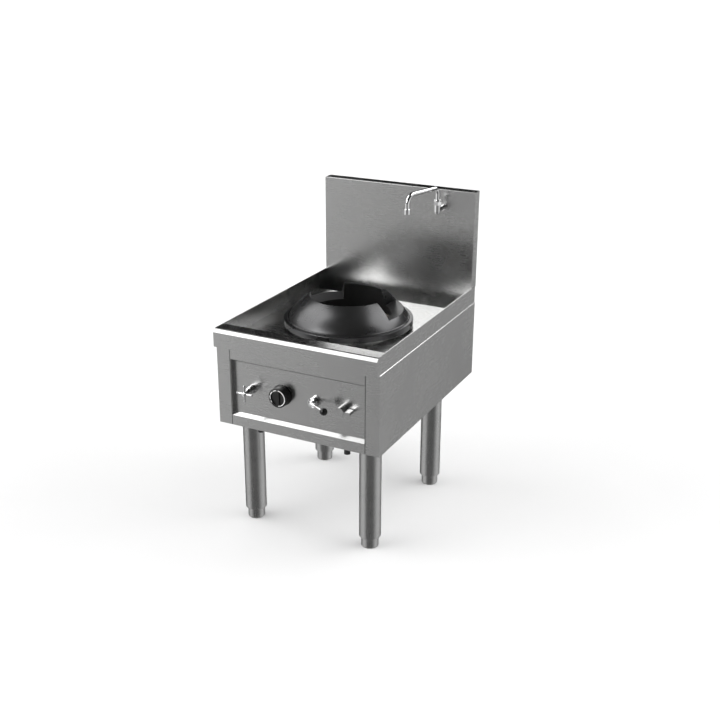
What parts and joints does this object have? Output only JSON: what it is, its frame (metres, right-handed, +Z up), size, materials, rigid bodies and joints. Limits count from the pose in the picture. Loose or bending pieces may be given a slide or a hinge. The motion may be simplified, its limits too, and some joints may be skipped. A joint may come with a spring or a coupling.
{
  "type": "wok range",
  "caption": "Free-standing stainless gas wok range on round legs, with a sunk deck, loose iron wok ring, gas and water controls, splashback and swivel faucet.",
  "frame": {"origin": "on the floor under the middle of the whole range, the lever's ball included", "axes": "+Z up, front and controls towards -Y, faucet towards +X"},
  "size_m": [0.6, 0.8504, 1.1065],
  "materials": {
    "brushed_steel": "brushed",
    "dark_iron": "satin, seasoned",
    "chrome": "polished",
    "brass": "machined",
    "copper_pipe": "drawn tube",
    "black_plastic": "satin",
    "white_marks": "matte",
    "refractory": "matte",
    "tube_steel": "satin tube"
  },
  "bodies": {
    "casing": {"worktop": "brushed_steel", "rear_gutter": "brushed_steel", "deck_collar": "brushed_steel", "left_side_panel": "brushed_steel", "right_side_panel": "brushed_steel", "control_panel": "brushed_steel", "rear_panel": "brushed_steel", "base_plate": "brushed_steel", "left_rail": "brushed_steel", "right_rail": "brushed_steel", "splash_front": "brushed_steel", "splash_back": "brushed_steel", "front_left_leg": "tube_steel", "front_right_leg": "tube_steel", "rear_left_leg": "tube_steel", "rear_right_leg": "tube_steel", "leg_sockets": "brushed_steel", "leg_bolts": "chrome", "leg_plugs": "tube_steel", "combustion_chamber": "dark_iron", "refractory_liner": "refractory", "burner_head": "dark_iron", "burner_bracket": "dark_iron", "mixer_tube": "dark_iron", "injector": "brass", "gas_manifold": "brass", "gas_valve": "brass", "gas_feed_pipe": "brass", "knob_bezel": "black_plastic", "pilot_cock": "chrome", "pilot_pipe": "brass", "pilot_burner": "brass", "thermocouple": "copper_pipe", "water_valve": "chrome", "water_inlet_left": "dark_iron", "faucet_pipe": "copper_pipe", "rinse_valve": "chrome", "water_inlet_right": "dark_iron", "rinse_pipe": "copper_pipe", "faucet_body": "chrome", "faucet_nut": "chrome", "drain_socket": "brushed_steel", "drain_pipe": "brushed_steel"},
    "wok_ring": {"wok_ring": "dark_iron"},
    "gas_spindle": {"gas_spindle": "chrome"},
    "gas_knob": {"gas_knob": "black_plastic", "knob_marks": "white_marks"},
    "cross_handle": {"cross_handle": "chrome"},
    "pilot_lever": {"pilot_lever": "chrome", "lever_ball": "black_plastic"},
    "rinse_tap": {"rinse_tap_knob": "brushed_steel"},
    "spout": {"faucet_spout": "chrome", "spout_collar": "chrome"},
    "strainer": {"gutter_strainer": "brushed_steel"},
    "front_left_foot": {"front_left_foot": "tube_steel"},
    "front_right_foot": {"front_right_foot": "tube_steel"},
    "rear_left_foot": {"rear_left_foot": "tube_steel"},
    "rear_right_foot": {"rear_right_foot": "tube_steel"}
  },
  "joints": [
    {"name": "gas_knob_push", "type": "slide", "parent": "casing", "child": "gas_spindle", "axis": [0, 1, 0], "range_m": [0, 0.003], "stiffness_N_per_m": 900},
    {"name": "gas_knob_turn", "type": "hinge", "parent": "gas_spindle", "child": "gas_knob", "pos_m": [-0.0615, -0.36875, 0.5255], "axis": [0, -1, 0], "range_deg": [0, 240]},
    {"name": "cross_handle_turn", "type": "hinge", "parent": "casing", "child": "cross_handle", "pos_m": [-0.1755, -0.40475, 0.5255], "axis": [0, -1, 0], "range_deg": [0, 720]},
    {"name": "pilot_lever_turn", "type": "hinge", "parent": "casing", "child": "pilot_lever", "pos_m": [0.0585, -0.37775, 0.5255], "axis": [0, 1, 0], "range_deg": [0, 90]},
    {"name": "rinse_tap_turn", "type": "hinge", "parent": "casing", "child": "rinse_tap", "pos_m": [0.1675, -0.36675, 0.5255], "axis": [0, -1, 0], "range_deg": [0, 90]},
    {"name": "spout_swivel", "type": "hinge", "parent": "casing", "child": "spout", "pos_m": [0.177, 0.33425, 1.04], "axis": [0, 0, 1], "range_deg": [-70, 100]},
    {"name": "wok_ring_lift", "type": "slide", "parent": "casing", "child": "wok_ring", "axis": [0, 0, 1], "range_m": [0, 0.15]},
    {"name": "strainer_lift", "type": "slide", "parent": "casing", "child": "strainer", "axis": [0, 0, 1], "range_m": [0, 0.08]},
    {"name": "front_left_foot_adjust", "type": "slide", "parent": "casing", "child": "front_left_foot", "axis": [0, 0, -1], "range_m": [0, 0.025]},
    {"name": "front_right_foot_adjust", "type": "slide", "parent": "casing", "child": "front_right_foot", "axis": [0, 0, -1], "range_m": [0, 0.025]},
    {"name": "rear_left_foot_adjust", "type": "slide", "parent": "casing", "child": "rear_left_foot", "axis": [0, 0, -1], "range_m": [0, 0.025]},
    {"name": "rear_right_foot_adjust", "type": "slide", "parent": "casing", "child": "rear_right_foot", "axis": [0, 0, -1], "range_m": [0, 0.025]}
  ]
}
